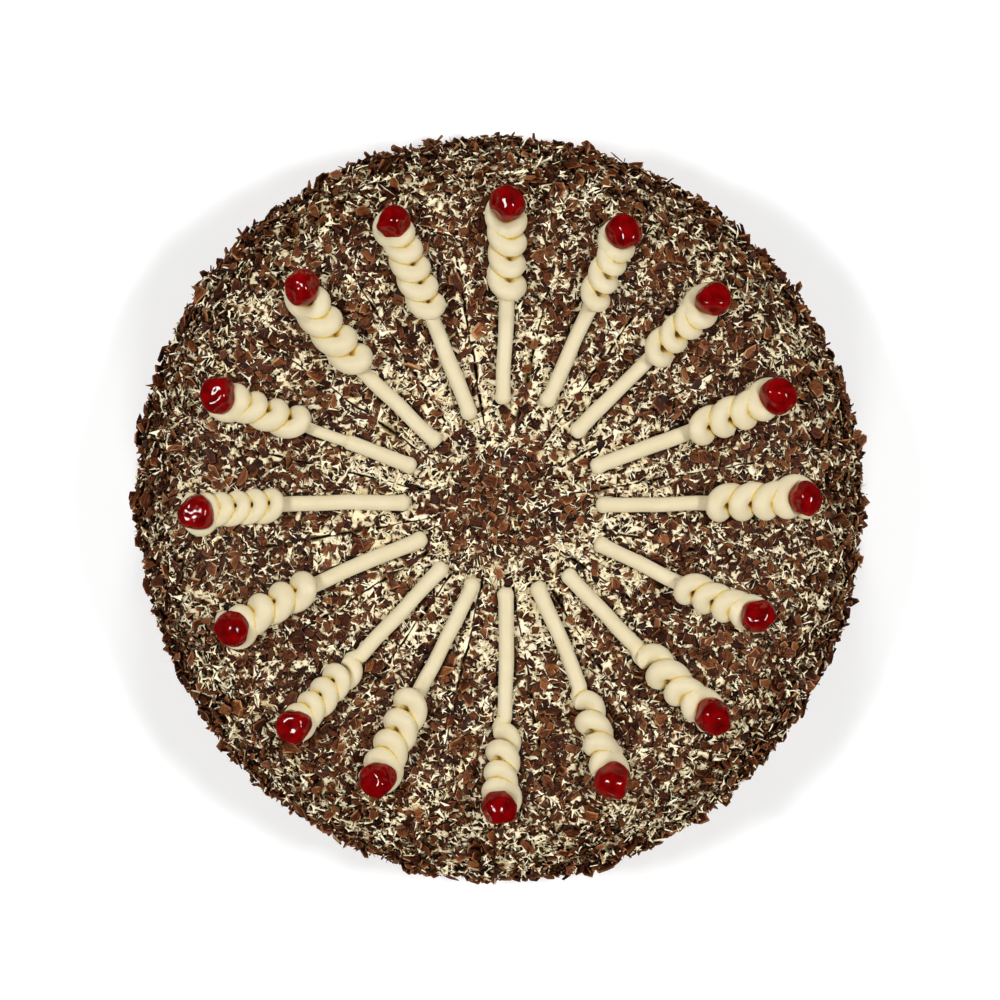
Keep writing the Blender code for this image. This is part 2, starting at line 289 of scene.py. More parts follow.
# How thick the flakes lie: (millimetres from the axis along the surface, layers of flake)
FLAKE_LAYERS = [
    (0, 1.7), (18, 1.55), (26, 0.92), (38, 0.7), (52, 0.7), (60, 0.95), (68, 1.25), (95, 1.45),
    (110, 1.45), (118, 1.25), (128, 1.15), (138, 1.25), (150, 1.7), (190, 1.9),
]

# How thick the threads of cream lie, the same way
THREAD_LAYERS = [
    (0, 0.7), (18, 0.8), (26, 1.9), (52, 1.8), (62, 1.1), (95, 0.9), (118, 1.2), (138, 0.85),
    (146, 0.3), (190, 0.2),
]

# Chocolate's brown: how much the flake's own tone with its painted light by height, the blade's
# streaks and the grain each count, how many streaks cross a flake's length and width, and what tells
# one flake's streaks from another's
TONE_SHARE = 0.45
STREAK_SHARE = 0.55
GRAIN_SHARE = 0.2
STREAK_PLAN = (1.3, 6.0, 1.0)
STREAK_SHIFT = 40.0

# How many rays look for what crowds round a point of a surface, for the painted shade in gaps
GAP_SAMPLES = 4

# Light and camera
FLOOR_SIZE = 6
AMBIENT = 0.06
AMBIENT_IN_GLOSS = 0.02
FLOOR_GLOW = 0.15
LAMP_SIZE = 0.45
LAMP_DISTANCE = 1.9
MAIN_POWER = 20

# Each lamp's direction round the cake, its lean from overhead and its power. Only the main ones show
# in gloss.
LAMPS = [
    (0, math.radians(35), MAIN_POWER),
    (FULL_TURN / 2, math.radians(35), MAIN_POWER),
    (FULL_TURN / 4, math.radians(62), 12),
    (-FULL_TURN / 4, math.radians(62), 12),
]
CAMERA_PLACE = (0.0004, 0.0025, 1.586)
CAMERA_LENS = 146.4


def clear_selection():
    bpy.ops.object.select_all(action="DESELECT")


def only(obj):
    clear_selection()
    obj.select_set(True)
    bpy.context.view_layer.objects.active = obj


def enter_edit():
    bpy.ops.object.mode_set(mode="EDIT")


def leave_edit():
    bpy.ops.object.mode_set(mode="OBJECT")


def apply_modifiers(obj):
    only(obj)
    for modifier in list(obj.modifiers):
        bpy.ops.object.modifier_apply(modifier=modifier.name)


def values_of(elements, name, width, kind=np.float32):
    values = np.empty(len(elements) * width, kind)
    elements.foreach_get(name, values)
    return values.reshape(-1, width)


def points_of(mesh):
    return values_of(mesh.vertices, "co", 3).astype(float)


def set_points(mesh, points):
    mesh.vertices.foreach_set("co", points.astype(np.float32).ravel())
    mesh.update()


def copy_of(obj, name):
    twin = obj.copy()
    twin.data = obj.data.copy()
    twin.name = name
    twin.data.name = name
    bpy.context.scene.collection.objects.link(twin)
    return twin


def finish_piece(obj, material):
    obj.data.materials.clear()
    obj.data.materials.append(material)
    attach(obj, "root")


# The cake's shape


def share_between(values, low, high):
    """0 up to the low value, 1 from the high value on, and even in between."""
    return np.clip((values - low) / (high - low), 0, 1)


def polar(points):
    """Each point's distance from the axis and its direction round it."""
    return np.hypot(points[:, 0], points[:, 1]), np.arctan2(points[:, 1], points[:, 0])


def turned(x, y, turn):
    """The two coordinates turned anticlockwise in their plane."""
    return x * np.cos(turn) - y * np.sin(turn), x * np.sin(turn) + y * np.cos(turn)


def out_of_round(angle):
    """How far the outline reaches in this direction, as a share of the true circle."""
    oval = OVAL_SHARE * np.cos(2 * (angle - OVAL_DIRECTION))
    lobes = LOBE_SHARE * np.cos(3 * (angle - LOBE_DIRECTION))
    return 1 + oval + lobes


def profile_height(radius):
    """Height of the cake's top and rounded shoulder at a radius of the true circle."""
    dome = DOME_RISE * (1 - (radius / WALL_RADIUS) ** 2)
    across = np.clip((radius - (WALL_RADIUS - SHOULDER_WIDTH)) / SHOULDER_WIDTH, 0, 1)
    drop = (RIM_HEIGHT - WALL_HEIGHT) * (1 - np.sqrt(1 - across**2))
    return RIM_HEIGHT + dome - drop


def waves(points, rows):
    """Smooth unevenness at each point, the same wherever it is asked for."""
    total = np.zeros(len(points))
    for depth, width in rows:
        scaled = points / width
        total += depth * np.array([noise.noise(Vector(point)) for point in scaled])
    return total


def fit_to_cake(points):
    """Moves points of the true round cake to the real one, out of round and spread by hand."""
    radius, angle = polar(points)
    stretch = out_of_round(angle)
    uneven = waves(points, COAT_WAVES) * share_between(points[:, 2], 0, WALL_HEIGHT)
    bulge = waves(points + WALL_WAVES_APART, WALL_WAVES) * share_between(radius, *WALL_WAVES_GROW)
    bulge *= share_between(points[:, 2], 0, FOOT_BLEND)
    outward = points[:, :2] / np.maximum(radius, 1e-6)[:, None]
    fitted = points.copy()
    fitted[:, :2] = points[:, :2] * stretch[:, None] + outward * bulge[:, None]
    fitted[:, 2] += uneven
    return fitted


def coat_height(points):
    """Height of the spread cream over points of the top, given by their first two coordinates."""
    radius, angle = polar(points)
    stretch = out_of_round(angle)
    flat = np.column_stack([points[:, :2] / stretch[:, None], profile_height(radius / stretch)])
    return flat[:, 2] + waves(flat, COAT_WAVES)


def section_line():
    """The portion's outline in section: over the top, round the shoulder, down and back underneath."""
    flat_radius = WALL_RADIUS - SHOULDER_WIDTH
    top_steps = round(flat_radius / TOP_STEP)
    radii = [TIP_RADIUS + (flat_radius - TIP_RADIUS) * step / top_steps for step in range(top_steps)]
    for step in range(SHOULDER_STEPS + 1):
        radii.append(flat_radius + SHOULDER_WIDTH * math.sin(step / SHOULDER_STEPS * math.pi / 2))
    line = [(radius, float(profile_height(radius))) for radius in radii]
    wall_steps = round(WALL_HEIGHT / WALL_STEP)
    for step in range(1, wall_steps + 1):
        share = step / wall_steps
        line.append((WALL_RADIUS + (BASE_RADIUS - WALL_RADIUS) * share, WALL_HEIGHT * (1 - share)))
    for step in range(1, BASE_STEPS + 1):
        line.append((BASE_RADIUS + (TIP_RADIUS - BASE_RADIUS) * step / BASE_STEPS, 0))
    return line


def select_only(mesh, elements, wanted):
    """In object mode, selects the edges or faces whose points all satisfy the test, nothing else."""
    for others in (mesh.vertices, mesh.edges, mesh.polygons):
        others.foreach_set("select", np.zeros(len(others), bool))
    passed = wanted(points_of(mesh))
    for element in elements:
        element.select = bool(passed[list(element.vertices)].all())


def cut_distance(points, side):
    """Distance from the cut at the wedge's first side (0) or its last side (1)."""
    turn = -side * PORTION_ANGLE
    sideways = np.array([-math.sin(turn), math.cos(turn)]) * (1 if side else -1)
    return (points[:, :2] - (TIP_RADIUS, 0)) @ sideways


def is_on_cut(points, side):
    return np.abs(cut_distance(points, side)) < ON_CUT


def model_wedge():
    """One portion, its first cut along +X, drawn as a line in section, spun and closed at the cuts."""
    line = section_line()
    clear_selection()
    bpy.ops.mesh.primitive_plane_add(size=MM, location=(line[0][0], 0, line[0][1]))
    wedge = bpy.context.object
    bpy.ops.object.transform_apply(location=True)
    enter_edit()
    bpy.ops.mesh.merge(type="CENTER")
    for (radius, height), (next_radius, next_height) in zip(line, line[1:]):
        step = (next_radius - radius, 0, next_height - height)
        bpy.ops.mesh.extrude_vertices_move(TRANSFORM_OT_translate={"value": step})
    bpy.ops.mesh.select_all(action="SELECT")
    tip = (TIP_RADIUS, 0, 0)
    bpy.ops.mesh.spin(steps=WEDGE_STEPS, angle=PORTION_ANGLE, center=tip, axis=(0, 0, 1))
    bpy.ops.mesh.select_all(action="SELECT")
    bpy.ops.mesh.remove_doubles(threshold=ON_CUT / 10)
    leave_edit()
    for side in (0, 1):
        select_only(wedge.data, wedge.data.edges, lambda points: is_on_cut(points, side))
        enter_edit()
        bpy.ops.mesh.edge_face_add()
        bpy.ops.mesh.inset(thickness=CUT_DEPTH)
        turn = -side * PORTION_ANGLE
        out = CUT_PRESSED if side else -CUT_PRESSED
        bpy.ops.transform.translate(value=(math.sin(turn) * out, -math.cos(turn) * out, 0))
        leave_edit()
    round_cut_edges(wedge)
    return wedge


def round_cut_edges(wedge):
    """Rounds the edges that the knife left along the top and the shoulder."""

    def on_cut_top(points):
        on_a_cut = is_on_cut(points, 0) | is_on_cut(points, 1)
        return on_a_cut & (points[:, 2] > WALL_HEIGHT) & (points[:, 0] > TIP_LEFT_SHARP)

    select_only(wedge.data, wedge.data.edges, on_cut_top)
    enter_edit()
    bpy.ops.mesh.bevel(
        offset=CUT_EDGE_ROUNDING, segments=CUT_EDGE_SEGMENTS, affect="EDGES", clamp_overlap=True
    )
    bpy.ops.mesh.select_all(action="SELECT")
    bpy.ops.mesh.remove_doubles(threshold=ON_CUT)
    bpy.ops.mesh.normals_make_consistent(inside=False)
    leave_edit()


def crumble_cut_edges(points, portion):
    """Pulls the top edges of both cuts down and apart in some places and smears them shut in others.

    The cuts wander a little, and the two portions beside a cut wander the same way.
    """
    radius, _ = polar(points)
    near_top = np.clip(1 - (profile_height(radius) - points[:, 2]) / CRUMBLE_HEIGHT, 0, 1)
    crumbled = points.copy()
    for side in (0, 1):
        turn = -side * PORTION_ANGLE
        leftward = np.array([-math.sin(turn), math.cos(turn)])
        into_portion = leftward * (1 if side else -1)
        cut = (portion - side) % PORTIONS
        near_cut = np.clip(1 - np.abs(cut_distance(points, side)) / CRUMBLE_WIDTH, 0, 1)
        line = np.column_stack([radius, np.full(len(points), cut * CUTS_APART), points[:, 2] * 0])
        rough = waves(line + side * MM, CRUMBLE_WAVES)
        apart = np.where(rough > 0, rough * CUT_GAPE, rough * CUT_CLOSING)
        from_end = np.minimum(radius - CUT_SEEN[0], CUT_SEEN[1] - radius)
        gash = np.clip(waves(line, GASH_WAVES) - GASH_RARITY, 0, 1)
        apart += gash * GASH_WIDTH * share_between(from_end, 0, GASH_FADE)
        apart *= near_top * near_cut
        crumbled[:, 2] -= CUT_RAGGEDNESS * np.clip(rough + RAGGED_EVERYWHERE, 0, 1) * near_top * near_cut**2
        wander = CUT_WANDER * waves(line, WANDER_WAVES) * near_top * near_cut
        wander *= share_between(radius, 0, WANDER_FROM_TIP)
        crumbled[:, :2] += into_portion * apart[:, None] + leftward * wander[:, None]
    return crumbled


def place_wedge(points, portion):
    """Turns the wedge from its first cut along +X to the portion's place in the cake."""
    middle = portion * PORTION_ANGLE + CUT_PHASE
    x, y = turned(points[:, 0] - TIP_RADIUS, points[:, 1], middle + PORTION_ANGLE / 2)
    tip_x, tip_y = turned(TIP_RADIUS, 0, middle)
    return np.column_stack([x + tip_x, y + tip_y, points[:, 2]])


def build_slices(material):
    wedge = model_wedge()
    plain = points_of(wedge.data)
    for portion in range(PORTIONS):
        number = f"{portion + 1:02d}"
        piece = copy_of(wedge, f"torte_slice_{number}")
        placed = place_wedge(crumble_cut_edges(plain, portion), portion)
        set_points(piece.data, fit_to_cake(placed))
        only(piece)
        bpy.ops.object.shade_smooth_by_angle(angle=SMOOTH_UNDER)
        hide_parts(f"slice_{number}")
        finish_piece(piece, material)
    bpy.data.objects.remove(wedge)


# The piped cream


def drift_at(radius, places):
    """Smooth drift in degrees through the three places of a layout row."""
    drift = 0.0
    for here, (reach, degrees) in enumerate(places):
        weight = 1.0
        for there, (other, _) in enumerate(places):
            if there != here:
                weight *= (radius - other * MM) / ((reach - other) * MM)
        drift += weight * degrees
    return drift


def figure_point(portion, radius):
    """A point of the piped figure's middle line, and the directions outward and to its left."""
    places = LAYOUT[portion][:3]
    angle = portion * PORTION_ANGLE + math.radians(drift_at(radius, places))
    outward = Vector((math.cos(angle), math.sin(angle), 0))
    leftward = Vector((-math.sin(angle), math.cos(angle), 0))
    return outward * radius, outward, leftward


def raised(point, height):
    return Vector((point.x, point.y, height))


def by_hand(what, portion, along):
    """The small unevenness of a hand that pipes slowly, about -0.5 to 0.5."""
    apart, plane = BY_HAND[what]
    return noise.noise(Vector((portion * apart, along, plane)))


def stem_points(portion, end_radius, end_side):
    """The plain bead from its rounded start to the loops, as (point, bead radius).

    Over its last stretch it bends to the given distance left of the middle line.
    """
    start_radius = LAYOUT[portion].start[0] * MM
    points = []
    for step in range(START_CAP_STEPS):
        share = (step + 0.5) / START_CAP_STEPS
        radius = start_radius + START_CAP_RADIUS * share
        bead = START_CAP_RADIUS * math.sqrt(1 - (1 - share) ** 2)
        points.append((raised(figure_point(portion, radius)[0], STEM_AXIS_HEIGHT), bead))
    first = start_radius + START_CAP_RADIUS * START_CAP_RUN
    steps = round((end_radius - first) / STEM_STEP)
    for step in range(steps + 1):
        radius = first + (end_radius - first) * step / steps
        centre, _, leftward = figure_point(portion, radius)
        bend = max(0.0, 1 - (end_radius - radius) / STEM_BEND_LENGTH[LAYOUT[portion].straight_on])
        sway = STEM_SWAY * by_hand("sway", portion, radius / SWAY_LENGTH)
        side = end_side * bend + sway * (1 - bend)
        swell = STEM_SWELL * by_hand("sway", portion + SWELL_APART, radius / SWAY_LENGTH)
        bead = STEM_RADIUS * (1 + swell)
        if portion in THIN_STEMS and radius > THIN_STEMS[portion][0] * MM:
            bead *= THIN_STEMS[portion][1]
        points.append((raised(centre + leftward * side, STEM_AXIS_HEIGHT), bead))
    return points


def crossing_lift(turn, last_crossing, straight_on):
    """How far the bead is lifted at this turn to pass over the cream that lies there already."""
    lift = CROSSING_LIFT * (1 - math.sin(turn)) / 2
    if turn > last_crossing:
        lift *= max(0.0, 1 - (turn - last_crossing) / CROSSING_FALL)
    if straight_on:
        lift *= min(1.0, max(0.0, (turn - FIRST_CROSSING) / FULL_TURN))
    return lift


def loop_points(portion):
    """The looping bead. Seen from above it turns clockwise while it moves outward.

    The turn angle is 0 at the left, a quarter turn at the outer side, a half turn at the right and
    three quarters at the inner side, where the bead crosses over what lies there already.
    """
    _, knee, cherry, seat_front, bands, straight_on, width, nest_width = LAYOUT[portion]
    seat_loop = SEAT_LOOP_SHARE * seat_front * MM + SEAT_LOOP_LEAST
    seat_side = nest_width * MM / 2 - SEAT_BEAD_RADIUS
    pitch = (cherry[0] - seat_front - knee[0]) * MM / (bands - 1)
    bead_radius = BEAD_SHARE_OF_PITCH * pitch
    loop_radius = width * MM / 2 - bead_radius
    first_centre = knee[0] * MM + bead_radius + loop_radius
    last_centre = (cherry[0] - seat_front) * MM + SEAT_BEAD_RADIUS + seat_loop
    last_crossing = FIRST_CROSSING + (bands - 1) * FULL_TURN
    start_turn = START_TURN[straight_on]
    end_turn = last_crossing + LAST_TURN
    steps = round((end_turn - start_turn) / LOOP_STEP)
    points = []
    for step in range(steps + 1):
        turn = start_turn + (end_turn - start_turn) * step / steps
        share = min(1.0, (turn - FIRST_CROSSING) / (last_crossing - FIRST_CROSSING))
        radius = first_centre + (last_centre - first_centre) * share
        centre, outward, leftward = figure_point(portion, radius)
        seat = min(1.0, max(0.0, (turn - last_crossing) / SEAT_RISE + 1))
        reach = loop_radius + (seat_loop - loop_radius) * seat
        side = loop_radius + (seat_side - loop_radius) * seat
        side *= 1 + LOOP_UNEVENNESS * by_hand("loops", portion, turn / LOOPS_WAVE)
        opened = 1.0
        if straight_on:
            opened = min(1.0, turn / FULL_TURN) ** 2
            side *= min(1.0, STRAIGHT_ON_WIDTH + (turn - start_turn) / FULL_TURN)
        place = centre + leftward * math.cos(turn) * side + outward * math.sin(turn) * opened * reach
        lift = crossing_lift(turn, last_crossing, straight_on)
        bead = bead_radius + (SEAT_BEAD_RADIUS - bead_radius) * seat
        bead *= 1 + BEAD_UNEVENNESS * by_hand("bead", portion, turn / BEAD_WAVE)
        bead *= END_TAPER.get(steps - step, 1.0)
        points.append((raised(place, LOOP_AXIS_HEIGHT + lift), bead))
    return points


def dab_points(portion, distance, left, height, heading, length, bead):
    """A short bead that tapers away from the place where it was dabbed on."""
    centre, outward, leftward = figure_point(portion, distance * MM)
    turn = math.radians(heading)
    way = outward * math.cos(turn) + leftward * math.sin(turn)
    points = []
    for step in range(DAB_STEPS + 1):
        share = step / DAB_STEPS
        place = centre + (leftward * left + way * length * share) * MM
        points.append((raised(place, height * MM), bead * MM * (1 - DAB_TAPER * share)))
    return points


def bead_route(portion):
    """The nozzle's whole way over one portion, stem and loops, over a flat ground at z = 0."""
    loops = loop_points(portion)
    start = loops[0][0].to_2d()
    stem_end = start.length - STEM_LEAD[LAYOUT[portion].straight_on]
    centre, _, leftward = figure_point(portion, start.length)
    end_side = (start - centre.to_2d()).dot(leftward.to_2d())
    return stem_points(portion, stem_end, end_side) + loops


def pipe_bead(name, routes):
    """A round bead along each route, drawn as a path with a bevel and made one closed skin."""
    clear_selection()
    bpy.ops.curve.primitive_nurbs_path_add()
    path = bpy.context.object
    path.name = name
    path.data.splines.clear()
    path.data.bevel_depth = STEM_RADIUS
    path.data.bevel_resolution = BEAD_SIDES_RESOLUTION
    path.data.use_fill_caps = True
    for route in routes:
        line = path.data.splines.new("POLY")
        line.points.add(len(route) - 1)
        for point, (place, bead) in zip(line.points, route):
            point.co = (*place, 1)
            point.radius = bead / STEM_RADIUS
    bpy.ops.object.convert(target="MESH")
    skin = path.modifiers.new("one_skin", "REMESH")
    skin.mode = "VOXEL"
    skin.voxel_size = SKIN_VOXEL
    soften = path.modifiers.new("soften", "SMOOTH")
    soften.factor = 0.5
    soften.iterations = SKIN_SOFTENING
    apply_modifiers(path)
    thin = path.modifiers.new("thin", "DECIMATE")
    thin.ratio = SKIN_TRIANGLES / (2 * len(path.data.polygons))
    apply_modifiers(path)
    return path


def crease_depth(mesh):
    """How far each point lies below its smoothed surroundings, deepest where beads meet."""
    points = points_of(mesh)
    ends = values_of(mesh.edges, "vertices", 2, np.int32)
    first, second = ends.T
    degree = np.bincount(ends.ravel(), minlength=len(points))
    smoothed = points.copy()
    for _ in range(CREASE_SPREAD):
        for axis in range(3):
            total = np.bincount(first, smoothed[second, axis], len(points))
            total += np.bincount(second, smoothed[first, axis], len(points))
            smoothed[:, axis] = total / degree
    return ((smoothed - points) * values_of(mesh.vertices, "normal", 3)).sum(axis=1)


def build_pipings(material):
    for portion in range(PORTIONS):
        number = f"{portion + 1:02d}"
        dabs = [dab_points(*row) for row in DABS if row[0] == portion]
        piping = pipe_bead(f"piped_figure_{number}", [bead_route(portion), *dabs])
        points = points_of(piping.data)
        heights = np.maximum(points[:, 2] * BEAD_SQUASH, -FOOT_DEPTH)
        points[:, 2] = coat_height(points) + heights
        set_points(piping.data, points)
        # The crease depth, kept on the skin, sets the material's painted shade and painted yellow glow.
        crease = piping.data.attributes.new("crease", "FLOAT", "POINT")
        depth = np.clip(crease_depth(piping.data) / CREASE_FULL_DEPTH, 0, 1)
        depth[polar(points)[0] < (LAYOUT[portion].knee[0] - CREASE_BEFORE_LOOPS) * MM] = 0
        crease.data.foreach_set("value", depth.astype(np.float32))
        only(piping)
        bpy.ops.object.shade_smooth()
        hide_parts(f"piped_cream_{number}")
        finish_piece(piping, material)


# The cherries


def model_cherry():
    """A ball with a radius of one unit, pushed in where the stalk was."""
    clear_selection()
    bpy.ops.mesh.primitive_ico_sphere_add(subdivisions=CHERRY_FINENESS, radius=1)
    cherry = bpy.context.object
    points = points_of(cherry.data)
    way = points / np.linalg.norm(points, axis=1)[:, None]
    spread = np.arccos(np.clip(way[:, 2], -1, 1)) / CHERRY_DIMPLE_WIDTH
    dimple = CHERRY_DIMPLE * np.exp(-(spread**2))
    set_points(cherry.data, way * (1 - dimple)[:, None])
    return cherry


def shrivelled(points, portion, dice):
    """The candied fruit's reach in each direction: softly flattened faces and small dents."""
    pressed = np.ones(len(points))
    for _ in range(CHERRY_FACETS):
        way = np.array([dice.gauss(0, 1) for _ in range(3)])
        facing = points @ (way / np.linalg.norm(way)) / dice.uniform(*CHERRY_FACET_DISTANCE)
        pressed += np.clip(facing, 0, None) ** CHERRY_FACET_SHARPNESS
    reach = pressed ** (-1 / CHERRY_FACET_SHARPNESS)
    for depth, fineness in CHERRY_DENTS:
        offset = Vector((portion * CHERRIES_APART, 0, 0))
        reach += depth * np.array([noise.noise(Vector(point) * fineness + offset) for point in points])
    return reach


def build_cherries(material):
    ball = model_cherry()
    round_points = points_of(ball.data)
    for portion in range(PORTIONS):
        number = f"{portion + 1:02d}"
        low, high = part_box(f"cherry_{number}")
        cherry = copy_of(ball, f"glazed_cherry_{number}")
        dice = random.Random(portion)
        points = round_points * shrivelled(round_points, portion, dice)[:, None]
        lean = math.radians(dice.uniform(*CHERRY_LEAN))
        spin = dice.uniform(0, FULL_TURN)
        across, upward = turned(points[:, 1], points[:, 2], lean)
        leant = np.column_stack([*turned(points[:, 0], across, spin), upward])
        size = leant.max(axis=0) - leant.min(axis=0)
        middle = (leant.max(axis=0) + leant.min(axis=0)) / 2
        scale = (np.array(high) - np.array(low)) / size * CHERRY_SWELL
        placed = (leant - middle) * scale + (np.array(low) + np.array(high)) / 2
        set_points(cherry.data, placed)
        only(cherry)
        bpy.ops.object.shade_smooth()
        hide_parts(f"cherry_{number}")
        finish_piece(cherry, material)
    bpy.data.objects.remove(ball)


# The chocolate flakes


def surface_table():
    """The coat's section, finely divided: distance along it, radius and height."""
    flat_radius = WALL_RADIUS - SHOULDER_WIDTH
    top = np.linspace(0, flat_radius, TABLE_STEPS)
    turns = np.linspace(0, math.pi / 2, TABLE_STEPS)[1:]
    shoulder = flat_radius + SHOULDER_WIDTH * np.sin(turns)
    heights = np.linspace(WALL_HEIGHT, LOWEST_FLAKE, WALL_TABLE_STEPS)[1:]
    wall = WALL_RADIUS + (1 - heights / WALL_HEIGHT) * (BASE_RADIUS - WALL_RADIUS)
    radii = np.concatenate([top, shoulder, wall])
    levels = np.concatenate([profile_height(top), profile_height(shoulder), heights])
    along = np.concatenate([[0], np.cumsum(np.hypot(np.diff(radii), np.diff(levels)))])
    return along, radii, levels


def even_spread(order):
    """Two rows of numbers from 0 to 1 for one kind. Together the kinds fill the square evenly."""
    counts = np.array([row[0] for row in LOOSE_KINDS.values()])
    total = round(counts.sum() * SCATTER_EXCESS)
    kinds = np.random.default_rng(SEED).choice(len(counts), total, p=counts / counts.sum())
    index = np.nonzero(kinds == order)[0]
    return tuple((0.5 + index * step) % 1 for step in EVEN_STEPS)


def scatter_places(order, thickness_by_place, dice):
    """Seeded places, dense where the layers say: true round points, normals, distances along the coat."""
    along, radii, levels = surface_table()
    stations = np.array([row[0] for row in thickness_by_place]) * MM
    layers = np.interp(along, stations, [row[1] for row in thickness_by_place])
    weight = np.concatenate([[0], np.cumsum((layers * radii)[1:] * np.diff(along))])
    share, turn = even_spread(order)
    count = len(share)
    places = np.interp(share * weight[-1], weight, along) + dice.normal(0, FLAKE_JITTER, count)
    places = np.clip(np.abs(places), 0, along[-1])
    radius = np.interp(places, along, radii)
    level = np.interp(places, along, levels)
    before, after = places - LEAN_STEP, places + LEAN_STEP
    run = np.interp(after, along, radii) - np.interp(before, along, radii)
    fall = np.interp(before, along, levels) - np.interp(after, along, levels)
    lean = np.arctan2(fall, run)
    angle = turn * FULL_TURN + dice.normal(0, FLAKE_JITTER, count) / np.maximum(radius, JITTER_RADIUS)
    points = np.column_stack([*turned(radius, 0, angle), level])
    normals = np.column_stack([*turned(np.sin(lean), 0, angle), np.cos(lean)])
    return points, normals, places


def patchiness(points, is_thread):
    """Share of the pieces that stay at each point: few flakes and more threads where cream shows."""
    cluster = waves(points + PATCH_WAVES_APART, PATCH_WAVES)
    stays = USUALLY_STAYS[is_thread] + cluster * PATCHINESS[is_thread]
    return np.clip(stays, LEAST_STAYS[is_thread], 1)


def off_the_cuts(points, is_thread, dice):
    """True where a flake or thread may stay: few lie over the open stretch of a cut."""
    radius, angle = polar(points)
    portion_share = ((angle - CUT_PHASE) / PORTION_ANGLE - 0.5) % 1
    aside = np.minimum(portion_share, 1 - portion_share) * PORTION_ANGLE * radius
    open_stretch = (radius > CUT_SEEN[0]) & (radius < CUT_SEEN[1])
    return (aside > CUT_CLEARANCE[is_thread]) | ~open_stretch | (dice.random(len(points)) < CUT_COVERED)


def off_the_pipings(points, routes):
    """True where a flake isn't buried under a piped bead."""
    free = np.ones(len(points), bool)
    for route in routes:
        line = np.array([place[:2] for place, _ in route])
        beads = np.array([bead for _, bead in route])
        low, high = line.min(axis=0) - PIPING_REACH, line.max(axis=0) + PIPING_REACH
        in_box = ((points[:, :2] > low) & (points[:, :2] < high)).all(axis=1)
        near = np.nonzero(in_box & (points[:, 2] > WALL_HEIGHT))[0]
        apart = np.linalg.norm(points[near, None, :2] - line[None], axis=2)
        free[near] &= (apart > beads[None] * BURIED_SHARE).all(axis=1)
    return free


def corner_of(points, corners):
    """Which corner of an evenly cornered slab each point belongs to. The first lies along +Y."""
    turns = np.arctan2(points[:, 0], points[:, 1]) * corners / FULL_TURN
    return np.round(turns).astype(int) % corners


def model_flake_pattern(dice, corners, forked):
    """One flake or thread of unit size: a flat slab with a few corners, narrower at the top."""
    clear_selection()
    bpy.ops.mesh.primitive_cylinder_add(vertices=corners, radius=1, depth=1, end_fill_type="NGON")
    slab = bpy.context.object
    if forked:
        select_only(slab.data, slab.data.edges, lambda points: corner_of(points, corners) % 2 == 1)
        enter_edit()
        bpy.ops.transform.resize(value=(FORK_WAIST, FORK_WAIST, 1), center_override=(0, 0, 0))
        leave_edit()
    select_only(slab.data, slab.data.polygons, lambda points: points[:, 2] > 0)
    enter_edit()
    narrowing = dice.uniform(*LID_NARROWING)
    bpy.ops.transform.resize(value=(narrowing, narrowing, 1))
    slip = (dice.uniform(*LID_SLIP), dice.uniform(*LID_SLIP), 0)
    bpy.ops.transform.translate(value=slip)
    leave_edit()
    return slab


def broken_outline(pattern, corners, count, is_thread, dice):
    """The pattern's points for each flake, its corners moved round and in or out as it broke."""
    corner = corner_of(pattern, corners)
    reach = dice.uniform(*REACHES[is_thread], (count, corners))[:, corner]
    swing = dice.uniform(*SWINGS, (count, corners))[:, corner] * FULL_TURN / corners
    warp = dice.uniform(*WARPS, (count, corners))[:, corner]
    x, y = turned(pattern[:, 0], pattern[:, 1], swing)
    return x * reach, y * reach, pattern[:, 2] + warp


def frames_of(normals, dice, tilts):
    """For each flake its length, width and thickness directions, turned and tilted at random."""
    count = len(normals)
    tilted = normals + dice.normal(0, 1, (count, 3)) * np.tan(tilts)[:, None]
    tilted /= np.linalg.norm(tilted, axis=1)[:, None]
    guess = dice.normal(0, 1, (count, 3))
    lengthwise = np.cross(tilted, guess)
    lengthwise /= np.linalg.norm(lengthwise, axis=1)[:, None]
    widthwise = np.cross(tilted, lengthwise)
    return lengthwise, widthwise, tilted


def joined_mesh(name, points, face_groups, plans, values):
    """One mesh from stacked points, equal-sized groups of faces, their plans and values by point."""
    mesh = bpy.data.meshes.new(name)
    mesh.vertices.add(len(points))
    mesh.vertices.foreach_set("co", points.astype(np.float32).ravel())
    corners = np.concatenate([faces.ravel() for faces in face_groups])
    sizes = np.concatenate([np.full(len(faces), faces.shape[1]) for faces in face_groups])
    starts = np.concatenate([[0], np.cumsum(sizes)[:-1]])
    mesh.loops.add(len(corners))
    mesh.loops.foreach_set("vertex_index", corners.astype(np.int32))
    mesh.polygons.add(len(sizes))
    mesh.polygons.foreach_set("loop_start", starts.astype(np.int32))
    plan = mesh.uv_layers.new(name="flake_plan")
    plan.uv.foreach_set("vector", np.concatenate([p.ravel() for p in plans]).astype(np.float32))
    for title, row in values.items():
        mesh.attributes.new(title, "FLOAT", "POINT").data.foreach_set("value", row.astype(np.float32))
    mesh.update(calc_edges=True)
    mesh.validate()
    mesh.shade_flat()
    return mesh


